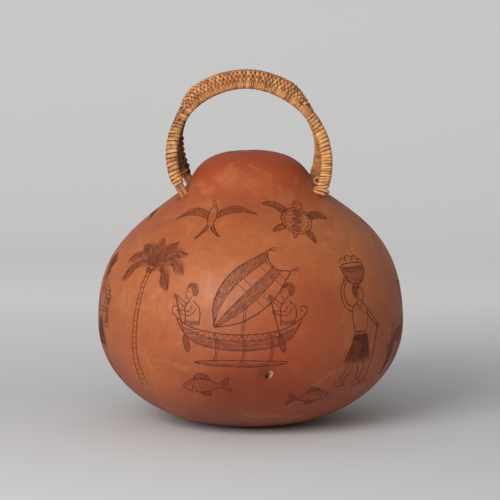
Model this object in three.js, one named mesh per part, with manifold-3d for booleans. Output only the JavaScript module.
// Engraved calabash with a bound cane carrying handle.
// Millimetres, +Z up. The origin is the centre of the resting face, and the front faces -Y.

import * as THREE from 'three';
import { mergeVertices } from 'three/addons/utils/BufferGeometryUtils.js';
import Module from 'manifold-3d';

// Gourd outline, from the resting face up to the crown

const RESTING_RADIUS = 27;
const BELLY_RADIUS = 150;
const BELLY_HEIGHT = 99;
const SHOULDER_FULLNESS = 66;
const NECK_RADIUS = 70;
const NECK_HEIGHT = 227;
const NECK_SLOPE = THREE.MathUtils.degToRad(35);
const NECK_PULL_BELOW = 68;
const NECK_PULL_ABOVE = 20.5;
const CROWN_FULLNESS = 59;
const CROWN_HEIGHT = 267.4;
const SHELL_WALL = 6;

// The shoulder swells a little towards +X
const LEAN = 3;
const LEAN_HEIGHT = 200;
const LEAN_SPREAD = 35;

// Openings cut in the gourd

const MOUTH_RADIUS = 15.4;
const MOUTH_X = -9;
const MOUTH_Y = 6;
const DRILLED_HOLE_RADIUS = 3.2;
const DRILLED_HOLE_HEIGHT = 66.5;
const DRILLED_HOLE_BEARING = THREE.MathUtils.degToRad(6.9);

// The hole was drilled at a slant: its outer end looks this far to the right and up
const DRILLED_HOLE_TURN = THREE.MathUtils.degToRad(30);
const DRILLED_HOLE_RISE = THREE.MathUtils.degToRad(20);

const DISH_RADIUS = 13;
const DISH_DEPTH = 1.2;
const TIE_HOLE_RADIUS = 0.9;
const TIE_HOLE_OFFSET = 5.6;
const FOOT_CLEARANCE = 0.3;

// Handle: two rods side by side, each of an outer and an inner cane

const CANE_RADIUS = 2.1;
const CANE_GAP = 0.3;
const CANE_INSIDE = 14;
const HANDLE_X = -2;
const ARCH_RADIUS = 74.8;
const ARCH_CENTRE_RISE = 38.3;
const FEET_RADIUS = 71;
const FRONT_FEET_DEPTH = 28;
const BACK_FEET_DEPTH = 34;
const BACK_LEG_INSET = 8.5;
const BACK_INSET_POWER = 1.1;

// The hand-bent arch isn't quite round: its radius, as shares of the arch radius, at every
// thirty degrees from the left foot over the top to the right foot
const ARCH_SHAPE = [0.987, 1, 0.978, 0.92, 0.893, 0.887, 0.938, 1.01, 1.065];
const ARCH_SHAPE_STEP = 30;
const ARCH_SHAPE_START = 210;

// Angle of the top of the arch, and the degrees from it at which the rods begin and cease to part
const ARCH_TOP = 90;
const PARTING_START = 52;
const PARTING_END = 120;
const ROD_GRID_END = 108;
const ROD_GRID_STEP = 6;

// Bindings

const STRIP_THICKNESS = 1.2;
const STRIP_SEAT = 0.5;
const ARCH_STRIP_SEAT = 0.9;
const STRIP_GAP = 0.6;
const ARCH_LOOPS = 24;
const LEG_STRIP_PITCH = 4.15;
const LEFT_ROD_SPLIT = 11;
const RIGHT_ROD_SPLIT = 8.6;
const LEFT_FRONT_BARE_LENGTH = 10.5;
const LEFT_BACK_BARE_LENGTH = 8.5;
const STEPS_PER_LOOP = 10;
const ARCH_STEPS_PER_LOOP = 14;

// Ridge along the top of the arch

const RIDGE_CORE_RADIUS = 3.7;
const RIDGE_TIP_RADIUS = 0.7;
const RIDGE_TAPER = 27;
const RIDGE_LEFT_START = 4;
const RIDGE_RIGHT_START = 8;
const LEADER_RADIUS = 0.8;
const LEADER_SPACING = 3.3;
const LEADERS_EACH_SIDE = 3;
const LEADER_STAGGER = 9;

// Strands between the front and back legs, and at the right feet

const LACING_RADIUS = 1;
const LACING_CROSSINGS = 11;
const LACING_PITCH = 4.3;
const LASHING_RADIUS = 1.4;
const LASHING_GAP = 0.6;
const LASHING_LOOPS = 2;
const LASHING_LEAN = 2.2;
const LASHING_CLEARANCE = 0.6;
const LASHING_TOP_GAP = 0.8;
const LASHING_SEAT_STEP = 0.25;
const TAIL_RADIUS = 0.8;
const TAIL_REACH = 6;
const TAIL_SPREAD = 3;
const TAIL_RISE = 5;
const TAIL_SEAT = 0.3;

// Facets

const GOURD_SEGMENTS = 44;
const ELLIPSE_STEPS = 8;
const SHOULDER_STEPS = 6;
const CROWN_STEPS = 6;
const CANE_SIDES = 8;
const CANE_STEPS = 50;
const STRAND_SIDES = 6;
const LEADER_SIDES = 5;
const LEADER_STEPS = 20;
const LACING_STEPS = 3;
const TAIL_STEPS = 10;
const CUT_SIDES = 12;
const CUT_STEPS = 4;
const DISH_SEGMENTS = 16;
const DISH_RINGS = 3;
const MOUTH_SEGMENTS = 32;

const CANE_SPACING = 2 * CANE_RADIUS + CANE_GAP;
const ROD_SPACING = CANE_SPACING;
const LASHING_PITCH = 2 * LASHING_RADIUS + LASHING_GAP;

const COLOURS = {
  gourd: 0xa9563a,
  cane: 0xc98f56,
  strip: 0xd9a468,
  strand: 0xcf9456,
};

// Gourd outline as radius and height

function outlineCurves() {
  const lowerHalf = (i) => {
    const turn = (i / ELLIPSE_STEPS) * (Math.PI / 2);
    const radius = RESTING_RADIUS + (BELLY_RADIUS - RESTING_RADIUS) * Math.sin(turn);
    return new THREE.Vector2(radius, BELLY_HEIGHT * (1 - Math.cos(turn)));
  };
  const lower = Array.from({ length: ELLIPSE_STEPS }, (_, i) => lowerHalf(i));
  const neck = new THREE.Vector2(NECK_RADIUS, NECK_HEIGHT);
  const along = new THREE.Vector2(-Math.cos(NECK_SLOPE), Math.sin(NECK_SLOPE));
  const shoulder = new THREE.CubicBezierCurve(
    new THREE.Vector2(BELLY_RADIUS, BELLY_HEIGHT),
    new THREE.Vector2(BELLY_RADIUS, BELLY_HEIGHT + SHOULDER_FULLNESS),
    neck.clone().addScaledVector(along, -NECK_PULL_BELOW),
    neck,
  );
  const crown = new THREE.CubicBezierCurve(
    neck,
    neck.clone().addScaledVector(along, NECK_PULL_ABOVE),
    new THREE.Vector2(CROWN_FULLNESS, CROWN_HEIGHT),
    new THREE.Vector2(0, CROWN_HEIGHT),
  );
  return { lower, shoulder, crown };
}

function outlinePoints(shoulderSteps, crownSteps) {
  const { lower, shoulder, crown } = outlineCurves();
  return [...lower, ...shoulder.getPoints(shoulderSteps), ...crown.getPoints(crownSteps).slice(1)];
}

const FINE_OUTLINE = outlinePoints(60, 60).filter((point) => point.y >= BELLY_HEIGHT);

function lean(height) {
  return LEAN * Math.exp(-(((height - LEAN_HEIGHT) / LEAN_SPREAD) ** 2));
}

function radiusAbove(height) {
  for (let i = 1; i < FINE_OUTLINE.length; i += 1) {
    const low = FINE_OUTLINE[i - 1];
    const high = FINE_OUTLINE[i];
    if (height <= high.y) {
      const share = (height - low.y) / (high.y - low.y || 1);
      return low.x + (high.x - low.x) * share;
    }
  }
  return 0;
}

// Height of the outer surface of the upper half above a point of the plan
function surfaceHeight(x, y) {
  let low = BELLY_HEIGHT;
  let high = CROWN_HEIGHT;
  for (let i = 0; i < 40; i += 1) {
    const middle = (low + high) / 2;
    const inside = Math.hypot(x - lean(middle), y) < radiusAbove(middle);
    low = inside ? middle : low;
    high = inside ? high : middle;
  }
  return (low + high) / 2;
}

function surfaceNormal(x, y) {
  const step = 0.5;
  const slopeX = (surfaceHeight(x + step, y) - surfaceHeight(x - step, y)) / (2 * step);
  const slopeY = (surfaceHeight(x, y + step) - surfaceHeight(x, y - step)) / (2 * step);
  return new THREE.Vector3(-slopeX, -slopeY, 1).normalize();
}

// Solids for the boolean cuts

const wasm = await Module();
wasm.setup();

function toSolid(geometry) {
  const bare = geometry.clone();
  bare.deleteAttribute('normal');
  bare.deleteAttribute('uv');
  const merged = mergeVertices(bare, 1e-4);
  const index = merged.index.array;
  const corners = [];
  for (let i = 0; i < index.length; i += 3) {
    const [a, b, c] = [index[i], index[i + 1], index[i + 2]];
    if (a !== b && b !== c && c !== a) corners.push(a, b, c);
  }
  const mesh = new wasm.Mesh({
    numProp: 3,
    vertProperties: Float32Array.from(merged.attributes.position.array),
    triVerts: Uint32Array.from(corners),
  });
  return new wasm.Manifold(mesh);
}

function toGeometry(solid) {
  const mesh = solid.getMesh();
  const geometry = new THREE.BufferGeometry();
  geometry.setAttribute('position', new THREE.BufferAttribute(mesh.vertProperties, 3));
  geometry.setIndex(new THREE.BufferAttribute(mesh.triVerts, 1));
  return geometry;
}

function lathed(points, segments = GOURD_SEGMENTS) {
  return new THREE.LatheGeometry(points, segments).rotateX(Math.PI / 2);
}

function leaned(geometry) {
  const position = geometry.attributes.position;
  for (let i = 0; i < position.count; i += 1) {
    position.setX(i, position.getX(i) + lean(position.getZ(i)));
  }
  return geometry;
}

// A round tube along a curve, with closed ends
function tube(curve, radius, sides, steps) {
  const section = new THREE.Shape(
    Array.from({ length: sides }, (_, i) => {
      const turn = ((i + 0.5) / sides) * Math.PI * 2;
      return new THREE.Vector2(radius * Math.cos(turn), radius * Math.sin(turn));
    }),
  );
  return new THREE.ExtrudeGeometry(section, { steps, extrudePath: curve, bevelEnabled: false });
}

// A geometry made along +Y is stood at a point with +Y along a direction
function placed(geometry, point, direction) {
  const turn = new THREE.Quaternion().setFromUnitVectors(new THREE.Vector3(0, 1, 0), direction);
  geometry.applyQuaternion(turn);
  return geometry.translate(point.x, point.y, point.z);
}

// Rods of the handle

const ARCH_CENTRE_HEIGHT = surfaceHeight(FEET_RADIUS, 0) + ARCH_CENTRE_RISE;

const archShape = new THREE.SplineCurve(
  ARCH_SHAPE.map((share, i) => new THREE.Vector2(ARCH_SHAPE_START - i * ARCH_SHAPE_STEP, share)),
);

// Centre of a rod at an angle in degrees round the arch, anticlockwise from the right
function rodPlace(side, feetDepth, inset, angle) {
  const share = (ARCH_SHAPE_START - angle) / (ARCH_SHAPE_STEP * (ARCH_SHAPE.length - 1));
  const radius = ARCH_RADIUS * archShape.getPoint(THREE.MathUtils.clamp(share, 0, 1)).y;
  const parted = THREE.MathUtils.smoothstep(Math.abs(angle - ARCH_TOP), PARTING_START, PARTING_END);
  const turn = THREE.MathUtils.degToRad(angle);
  const inward = Math.sign(Math.cos(turn)) * inset * parted ** BACK_INSET_POWER;
  const depth = ROD_SPACING / 2 + parted * (feetDepth - ROD_SPACING / 2);
  return new THREE.Vector3(
    HANDLE_X + radius * Math.cos(turn) - inward,
    side * depth,
    ARCH_CENTRE_HEIGHT + radius * Math.sin(turn),
  );
}

// A rod's foot, where its centre meets the gourd, and two places further in along its heading
function rodFoot(end, placeAt) {
  let above = ARCH_TOP - end * ROD_GRID_END;
  let below = above - end * ROD_GRID_END / 2;
  for (let i = 0; i < 40; i += 1) {
    const middle = (above + below) / 2;
    const { x, y, z } = placeAt(middle);
    const outside = z > surfaceHeight(x, y);
    above = outside ? middle : above;
    below = outside ? below : middle;
  }
  const foot = placeAt(above);
  const heading = foot.clone().sub(placeAt(above + end)).normalize();
  return [0, CANE_INSIDE / 2, CANE_INSIDE].map((depth) => foot.clone().addScaledVector(heading, depth));
}

function rod(side, feetDepth, inset) {
  const placeAt = (angle) => rodPlace(side, feetDepth, inset, angle);
  const grid = [];
  for (let turn = ROD_GRID_END; turn >= -ROD_GRID_END; turn -= ROD_GRID_STEP) {
    grid.push(placeAt(ARCH_TOP + turn));
  }
  const left = rodFoot(-1, placeAt).reverse();
  const right = rodFoot(1, placeAt);
  return new THREE.CatmullRomCurve3([...left, ...grid, ...right]);
}

const frontRod = rod(-1, FRONT_FEET_DEPTH, 0);
const backRod = rod(1, BACK_FEET_DEPTH, BACK_LEG_INSET);
const middleRod = new THREE.CatmullRomCurve3(
  frontRod.points.map((point, i) => point.clone().add(backRod.points[i]).multiplyScalar(0.5)),
);
[frontRod, backRod, middleRod].forEach((curve) => {
  curve.arcLengthDivisions = 800;
});

// Place on a rod with the directions along it, out from the arch's centre, and sideways
function frameAt(curve, t) {
  const place = curve.getPoint(t);
  const along = curve.getTangent(t);
  const out = new THREE.Vector3(place.x - HANDLE_X, 0, place.z - ARCH_CENTRE_HEIGHT);
  out.addScaledVector(along, -out.dot(along)).normalize();
  const aside = new THREE.Vector3().crossVectors(along, out).normalize();
  return { place, along, out, aside };
}

function caneCentre(curve, t, layer) {
  const { place, out } = frameAt(curve, t);
  return place.addScaledVector(out, (layer * CANE_SPACING) / 2);
}

function caneCurve(curve, layer) {
  const samples = 3 * CANE_STEPS;
  const points = Array.from({ length: samples + 1 }, (_, i) => caneCentre(curve, i / samples, layer));
  return new THREE.CatmullRomCurve3(points);
}

const CANES = [
  { name: 'front_outer_cane', curve: caneCurve(frontRod, 1) },
  { name: 'front_inner_cane', curve: caneCurve(frontRod, -1) },
  { name: 'back_outer_cane', curve: caneCurve(backRod, 1) },
  { name: 'back_inner_cane', curve: caneCurve(backRod, -1) },
];

// Share of a rod's length at a distance from its left or right foot on the gourd
function legDistance(curve, end, fromFoot) {
  const distance = CANE_INSIDE + fromFoot;
  return end < 0 ? distance : curve.getLength() - distance;
}

function rodSplit(end) {
  return end < 0 ? LEFT_ROD_SPLIT : RIGHT_ROD_SPLIT;
}

// Distance along a curve at which the front and back rods stand this far apart
function splitDistance(curve, end, apart) {
  const steps = 2000;
  for (let i = 0; i <= steps; i += 1) {
    const t = 0.5 + (end * i) / (2 * steps);
    if (frontRod.getPoint(t).distanceTo(backRod.getPoint(t)) >= apart) {
      const share = t * steps;
      let length = 0;
      for (let k = 0; k < share; k += 1) {
        length += curve.getPoint(k / steps).distanceTo(curve.getPoint((k + 1) / steps));
      }
      return length;
    }
  }
  return 0;
}

// Taut loops: a strand drawn tight round a set of circles

function legCircles(curve) {
  return (t) => [
    { centre: caneCentre(curve, t, 1), radius: CANE_RADIUS },
    { centre: caneCentre(curve, t, -1), radius: CANE_RADIUS },
  ];
}

// The ridge core lies in the groove between the two outer canes and tapers to its ends
const archStart = splitDistance(middleRod, -1, LEFT_ROD_SPLIT);
const archEnd = splitDistance(middleRod, 1, RIGHT_ROD_SPLIT);
const ridgeStart = archStart + RIDGE_LEFT_START;
const ridgeEnd = archEnd - RIDGE_RIGHT_START;

function ridgeFullness(distance) {
  const inside = Math.min(distance - ridgeStart, ridgeEnd - distance);
  return THREE.MathUtils.smoothstep(inside, 0, RIDGE_TAPER);
}

function ridgeCircle(t, distance) {
  const { place, out } = frameAt(middleRod, t);
  const radius = THREE.MathUtils.lerp(RIDGE_TIP_RADIUS, RIDGE_CORE_RADIUS, ridgeFullness(distance));
  const halfApart = frontRod.getPoint(t).distanceTo(backRod.getPoint(t)) / 2;
  const reach = CANE_RADIUS + radius + CANE_GAP;
  const lift = CANE_SPACING / 2 + Math.sqrt(Math.max(reach ** 2 - halfApart ** 2, 0));
  return { centre: place.addScaledVector(out, lift), radius };
}

function archCircles(t, distance) {
  return [...legCircles(frontRod)(t), ...legCircles(backRod)(t), ridgeCircle(t, distance)];
}

function tautPoint(circles, origin, direction, offset) {
  let best = -Infinity;
  let point = null;
  circles.forEach(({ centre, radius }) => {
    const reach = centre.clone().sub(origin).dot(direction) + radius;
    if (reach > best) {
      best = reach;
      point = centre.clone().addScaledVector(direction, radius + offset);
    }
  });
  return point;
}

function tautPointAt(curve, circlesAt, distance, angle, offset) {
  const t = curve.getUtoTmapping(0, distance);
  const { place, along, out, aside } = frameAt(curve, t);
  const direction = out.clone().multiplyScalar(Math.cos(angle)).addScaledVector(aside, Math.sin(angle));
  const point = tautPoint(circlesAt(t, distance), place, direction, offset);
  return point.addScaledVector(along, -point.clone().sub(place).dot(along));
}

// A closed body through rings of points that all have the same count
function ringBody(rings) {
  const sides = rings[0].length;
  const vertices = rings.flat().flatMap((point) => [point.x, point.y, point.z]);
  const triangles = [];
  for (let i = 0; i + 1 < rings.length; i += 1) {
    for (let k = 0; k < sides; k += 1) {
      const a = i * sides + k;
      const b = i * sides + ((k + 1) % sides);
      triangles.push(a, b, b + sides, a, b + sides, a + sides);
    }
  }
  const last = (rings.length - 1) * sides;
  for (let k = 1; k + 1 < sides; k += 1) {
    triangles.push(0, k + 1, k, last, last + k, last + k + 1);
  }
  const geometry = new THREE.BufferGeometry();
  geometry.setAttribute('position', new THREE.Float32BufferAttribute(vertices, 3));
  geometry.setIndex(triangles);
  return geometry;
}

// A strip or strand wound from one distance to another. Its section is a list of places
// along the rod and above the seat, and lean tilts each loop along the rod.
function winding(options) {
  const { curve, circlesAt, from, to, loops, section, steps } = options;
  const { seat = STRIP_SEAT, tilt = 0, start = 0 } = options;
  const rings = [];
  const count = Math.round(loops * steps);
  for (let i = 0; i <= count; i += 1) {
    const angle = start + (i / steps) * Math.PI * 2;
    const distance = from + ((to - from) * i) / count + tilt * Math.cos(angle);
    rings.push(
      section.map(([along, above]) =>
        tautPointAt(curve, circlesAt, distance + along, angle, seat + above)),
    );
  }
  return rings;
}

function stripSection(width) {
  return [
    [-width / 2, 0],
    [width / 2, 0],
    [width / 2, STRIP_THICKNESS],
    [-width / 2, STRIP_THICKNESS],
  ];
}

function strandSection(radius, sides) {
  return Array.from({ length: sides }, (_, i) => {
    const turn = (i / sides) * Math.PI * 2;
    return [radius * Math.cos(turn), radius + radius * Math.sin(turn)];
  });
}

// Least gap between neighbouring loops, measured between points on their surfaces
function leastSelfGap(rings, steps) {
  let least = Infinity;
  for (let i = 0; i + steps / 2 < rings.length; i += 1) {
    for (let k = i + Math.floor(steps / 2); k <= i + steps + 2 && k < rings.length; k += 1) {
      rings[i].forEach((a) => {
        rings[k].forEach((b) => {
          least = Math.min(least, a.distanceTo(b));
        });
      });
    }
  }
  return least;
}

// Pieces

const group = new THREE.Group();

function addPiece(name, geometry, colour, roughness) {
  const material = new THREE.MeshStandardMaterial({ color: colour, roughness, metalness: 0 });
  const mesh = new THREE.Mesh(geometry, material);
  mesh.name = name;
  group.add(mesh);
}

function insetPoints(points, wall) {
  return points.map((point, i) => {
    const before = points[Math.max(i - 1, 0)];
    const after = points[Math.min(i + 1, points.length - 1)];
    const along = after.clone().sub(before).normalize();
    return new THREE.Vector2(Math.max(point.x - along.y * wall, 0), point.y + along.x * wall);
  });
}

function gourdSolid() {
  const outer = outlinePoints(SHOULDER_STEPS, CROWN_STEPS);
  const inner = insetPoints(outer, SHELL_WALL);
  inner[0] = new THREE.Vector2(RESTING_RADIUS, SHELL_WALL);
  inner[inner.length - 1] = new THREE.Vector2(0, CROWN_HEIGHT - SHELL_WALL);
  const outside = toSolid(leaned(lathed([new THREE.Vector2(0, 0), ...outer])));
  const inside = toSolid(leaned(lathed([new THREE.Vector2(0, SHELL_WALL), ...inner])));
  return outside.subtract(inside);
}

function mouthCut() {
  const depth = 2 * (SHELL_WALL + MOUTH_RADIUS);
  const cylinder = new THREE.CylinderGeometry(MOUTH_RADIUS, MOUTH_RADIUS, depth, MOUTH_SEGMENTS);
  cylinder.rotateX(Math.PI / 2).translate(MOUTH_X, MOUTH_Y, CROWN_HEIGHT);
  return toSolid(cylinder);
}

// Place and outward direction on the lower half of the gourd
function lowerSurface(height, bearing) {
  const turn = Math.acos(1 - height / BELLY_HEIGHT);
  const radius = RESTING_RADIUS + (BELLY_RADIUS - RESTING_RADIUS) * Math.sin(turn);
  const slopeOut = BELLY_HEIGHT * Math.sin(turn);
  const slopeDown = (BELLY_RADIUS - RESTING_RADIUS) * Math.cos(turn);
  const level = new THREE.Vector3(Math.sin(bearing), -Math.cos(bearing), 0);
  const point = level.clone().multiplyScalar(radius).setZ(height);
  const outward = level.multiplyScalar(slopeOut).setZ(-slopeDown).normalize();
  return { point, outward };
}

function drilledHoleCut() {
  const { point } = lowerSurface(DRILLED_HOLE_HEIGHT, DRILLED_HOLE_BEARING);
  const depth = 5 * SHELL_WALL;
  const bore = new THREE.CylinderGeometry(DRILLED_HOLE_RADIUS, DRILLED_HOLE_RADIUS, depth, 16);
  const slant = new THREE.Vector3().setFromSphericalCoords(
    1,
    Math.PI / 2 - DRILLED_HOLE_RISE,
    DRILLED_HOLE_TURN,
  );
  return toSolid(placed(bore, point, new THREE.Vector3(slant.x, -slant.z, slant.y)));
}

// A shallow worn dish round the drilled hole
function dishCut() {
  const { point, outward } = lowerSurface(DRILLED_HOLE_HEIGHT, DRILLED_HOLE_BEARING);
  const rise = DISH_DEPTH + DISH_RADIUS ** 2 / (2 * BELLY_HEIGHT);
  const floor = Array.from({ length: DISH_RINGS + 1 }, (_, i) => {
    const share = i / DISH_RINGS;
    return new THREE.Vector2(DISH_RADIUS * share, (2 * DISH_DEPTH - rise) * share ** 2 - DISH_DEPTH);
  });
  const top = 2 * DISH_DEPTH;
  const rim = [new THREE.Vector2(DISH_RADIUS, top), new THREE.Vector2(0, top)];
  return toSolid(placed(new THREE.LatheGeometry([...floor, ...rim], DISH_SEGMENTS), point, outward));
}

// The clearance round both canes of a foot, through the wall
function footCut(curve, end) {
  const reach = CANE_INSIDE + 2 * SHELL_WALL;
  const radius = (CANE_RADIUS + FOOT_CLEARANCE) / Math.cos(Math.PI / CUT_SIDES);
  const share = reach / curve.getLength();
  const samples = Array.from({ length: CUT_STEPS + 1 }, (_, i) => {
    const u = (share * i) / CUT_STEPS;
    return curve.getPointAt(end < 0 ? u : 1 - u);
  });
  const path = new THREE.CatmullRomCurve3(samples);
  return toSolid(tube(path, radius, CUT_SIDES, CUT_STEPS));
}

// A small tie hole just outside the left front foot
function tieHoleCut() {
  const foot = frontRod.points[2];
  const level = new THREE.Vector3(foot.x, foot.y, 0).normalize();
  const x = foot.x + level.x * TIE_HOLE_OFFSET;
  const y = foot.y + level.y * TIE_HOLE_OFFSET;
  const point = new THREE.Vector3(x, y, surfaceHeight(x, y));
  const bore = new THREE.CylinderGeometry(TIE_HOLE_RADIUS, TIE_HOLE_RADIUS, 4 * SHELL_WALL, 10);
  return toSolid(placed(bore, point, surfaceNormal(x, y)));
}

function addShell() {
  const footCuts = CANES.flatMap(({ curve }) => [footCut(curve, -1), footCut(curve, 1)]);
  const cuts = [mouthCut(), drilledHoleCut(), dishCut(), tieHoleCut(), ...footCuts];
  const shell = cuts.reduce((solid, cut) => solid.subtract(cut), gourdSolid());
  addPiece('calabash_shell', toGeometry(shell), COLOURS.gourd, 0.42);
}

function addCanes() {
  CANES.forEach(({ name, curve }) => {
    addPiece(name, tube(curve, CANE_RADIUS, CANE_SIDES, CANE_STEPS), COLOURS.cane, 0.55);
  });
}

function addWinding(name, options, colour) {
  const rings = winding(options);
  const gap = leastSelfGap(rings, options.steps);
  console.log(`${name}: least gap to itself ${gap.toFixed(2)} mm`);
  addPiece(name, ringBody(rings), colour, 0.5);
}

function addArchBinding() {
  const pitch = (archEnd - archStart) / ARCH_LOOPS;
  const width = pitch - STRIP_GAP;
  addWinding('arch_binding', {
    curve: middleRod,
    circlesAt: archCircles,
    from: archStart + width / 2,
    to: archEnd - width / 2,
    loops: ARCH_LOOPS - 1,
    section: stripSection(width),
    seat: ARCH_STRIP_SEAT,
    steps: ARCH_STEPS_PER_LOOP,
    start: Math.PI / ARCH_STEPS_PER_LOOP,
  }, COLOURS.strip);
}

// Winds one leg down to a bare length above its foot, with the pitch drawn out to fill it
function addLegBinding(name, curve, end, bareLength) {
  const foot = legDistance(curve, end, bareLength);
  const top = splitDistance(curve, end, rodSplit(end)) + end * STRIP_GAP;
  const width = LEG_STRIP_PITCH - STRIP_GAP;
  const run = Math.abs(top - foot) - width;
  const loops = Math.floor(run / LEG_STRIP_PITCH);
  addWinding(name, {
    curve,
    circlesAt: legCircles(curve),
    from: top + (end * width) / 2,
    to: top + end * (width / 2 + run),
    loops,
    section: stripSection(width),
    steps: STEPS_PER_LOOP,
    start: Math.PI / STEPS_PER_LOOP,
  }, COLOURS.strip);
}

function addLeftLegs() {
  addLegBinding('left_front_leg_binding', frontRod, -1, LEFT_FRONT_BARE_LENGTH);
  addLegBinding('left_back_leg_binding', backRod, -1, LEFT_BACK_BARE_LENGTH);
}

function addRidgeCore() {
  const length = ridgeEnd - ridgeStart;
  const rings = Array.from({ length: LEADER_STEPS + 1 }, (_, i) => {
    const distance = ridgeStart + (length * i) / LEADER_STEPS;
    const t = middleRod.getUtoTmapping(0, distance);
    const { centre, radius } = ridgeCircle(t, distance);
    const { out, aside } = frameAt(middleRod, t);
    return Array.from({ length: CANE_SIDES }, (__, k) => {
      const turn = (k / CANE_SIDES) * Math.PI * 2;
      return centre.clone()
        .addScaledVector(out, radius * Math.cos(turn))
        .addScaledVector(aside, radius * Math.sin(turn));
    });
  });
  addPiece('ridge_core_cane', ringBody(rings), COLOURS.cane, 0.55);
}

// A place on the outside of the arch binding, a given way round from the ridge's top
function ridgePoint(distance, roundFromTop) {
  const offset = ARCH_STRIP_SEAT + STRIP_THICKNESS + STRIP_SEAT + LEADER_RADIUS;
  const side = Math.sign(roundFromTop);
  let left = Math.abs(roundFromTop) * THREE.MathUtils.lerp(0.6, 1, ridgeFullness(distance));
  let before = tautPointAt(middleRod, archCircles, distance, 0, offset);
  if (left === 0) return before;
  const turns = 90;
  for (let i = 1; i <= turns; i += 1) {
    const after = tautPointAt(middleRod, archCircles, distance, (side * i * Math.PI) / turns, offset);
    const step = before.distanceTo(after);
    if (step >= left) return before.lerp(after, left / step);
    left -= step;
    before = after;
  }
  return before;
}

function addLeaders() {
  for (let i = -LEADERS_EACH_SIDE; i <= LEADERS_EACH_SIDE; i += 1) {
    const from = ridgeStart + LEADER_STAGGER * (1 + Math.abs(i));
    const to = ridgeEnd - LEADER_STAGGER * (1 + Math.abs(i));
    const points = Array.from({ length: LEADER_STEPS + 1 }, (_, k) =>
      ridgePoint(from + ((to - from) * k) / LEADER_STEPS, i * LEADER_SPACING));
    const curve = new THREE.CatmullRomCurve3(points);
    const name = `ridge_leader_${i + LEADERS_EACH_SIDE + 1}`;
    addPiece(name, tube(curve, LEADER_RADIUS, LEADER_SIDES, LEADER_STEPS), COLOURS.strand, 0.5);
  }
}

// A strand laced to and fro between the front and back legs of one side
function addLacing(name, end) {
  const standOff = CANE_RADIUS + STRIP_SEAT + STRIP_THICKNESS + STRIP_SEAT + LACING_RADIUS;
  const apart = rodSplit(end) + 2 * standOff;
  const top = splitDistance(frontRod, end, apart);
  const topBack = splitDistance(backRod, end, apart);
  const points = Array.from({ length: LACING_CROSSINGS + 1 }, (_, i) => {
    const down = end * i * LACING_PITCH;
    const front = frontRod.getPoint(frontRod.getUtoTmapping(0, top + down));
    const back = backRod.getPoint(backRod.getUtoTmapping(0, topBack + down));
    const across = back.clone().sub(front).normalize();
    return i % 2 === 0
      ? front.addScaledVector(across, standOff)
      : back.addScaledVector(across, -standOff);
  });
  const curve = new THREE.CatmullRomCurve3(points, false, 'catmullrom', 0.2);
  const piece = tube(curve, LACING_RADIUS, STRAND_SIDES, LACING_STEPS * LACING_CROSSINGS);
  addPiece(name, piece, COLOURS.strand, 0.55);
}

// A rounder strand bound round a right foot, this far up the leg from the gourd
function lashingAt(curve, fromFoot) {
  const low = legDistance(curve, 1, fromFoot);
  return {
    curve,
    circlesAt: legCircles(curve),
    from: low,
    to: low - (LASHING_LOOPS - 1) * LASHING_PITCH,
    loops: LASHING_LOOPS - 1,
    section: strandSection(LASHING_RADIUS, STRAND_SIDES),
    steps: ARCH_STEPS_PER_LOOP,
    tilt: LASHING_LEAN,
    start: Math.PI / ARCH_STEPS_PER_LOOP,
  };
}

// The lowest seat on a right leg where the lashing clears the gourd all round
function lashingSeat(curve) {
  const clears = (fromFoot) =>
    winding(lashingAt(curve, fromFoot))
      .flat()
      .every(({ x, y, z }) => z > surfaceHeight(x, y) + LASHING_CLEARANCE);
  let seat = LASHING_RADIUS;
  while (!clears(seat)) seat += LASHING_SEAT_STEP;
  return seat;
}

function lashingTop(seat) {
  return seat + ((LASHING_LOOPS - 1) * LASHING_PITCH) / 2 + LASHING_LEAN + LASHING_RADIUS;
}

// Winds a right leg and its foot, and returns the bare length between the gourd and the binding
function addRightLeg(leg, curve) {
  const seat = lashingSeat(curve);
  const bareLength = lashingTop(seat) + LASHING_TOP_GAP;
  addWinding(`${leg}_foot_lashing`, lashingAt(curve, seat), COLOURS.strand);
  addLegBinding(`${leg}_leg_binding`, curve, 1, bareLength);
  return bareLength;
}

// The loose end of a binding, looped out on the inner side of the right front leg
function addBindingTail(bareLength) {
  const distance = legDistance(frontRod, 1, bareLength + TAIL_RISE);
  const { place, out, along } = frameAt(frontRod, frontRod.getUtoTmapping(0, distance));
  const standOff = CANE_SPACING / 2 + CANE_RADIUS + STRIP_SEAT + STRIP_THICKNESS + TAIL_SEAT;
  const loop = [
    [0, 1],
    [0.55, 0.87],
    [1, 0.13],
    [0.75, -0.8],
    [0, -1],
  ].map(([reach, shift]) =>
    place.clone()
      .addScaledVector(out, -standOff - reach * TAIL_REACH)
      .addScaledVector(along, shift * TAIL_SPREAD));
  const curve = new THREE.CatmullRomCurve3(loop);
  addPiece('binding_tail_loop', tube(curve, TAIL_RADIUS, STRAND_SIDES, TAIL_STEPS), COLOURS.strand, 0.5);
}

addShell();
addCanes();
addRidgeCore();
addArchBinding();
addLeaders();
addLeftLegs();
addBindingTail(addRightLeg('right_front', frontRod));
addRightLeg('right_back', backRod);
addLacing('left_web_lacing', -1);
addLacing('right_web_lacing', 1);

export default group;
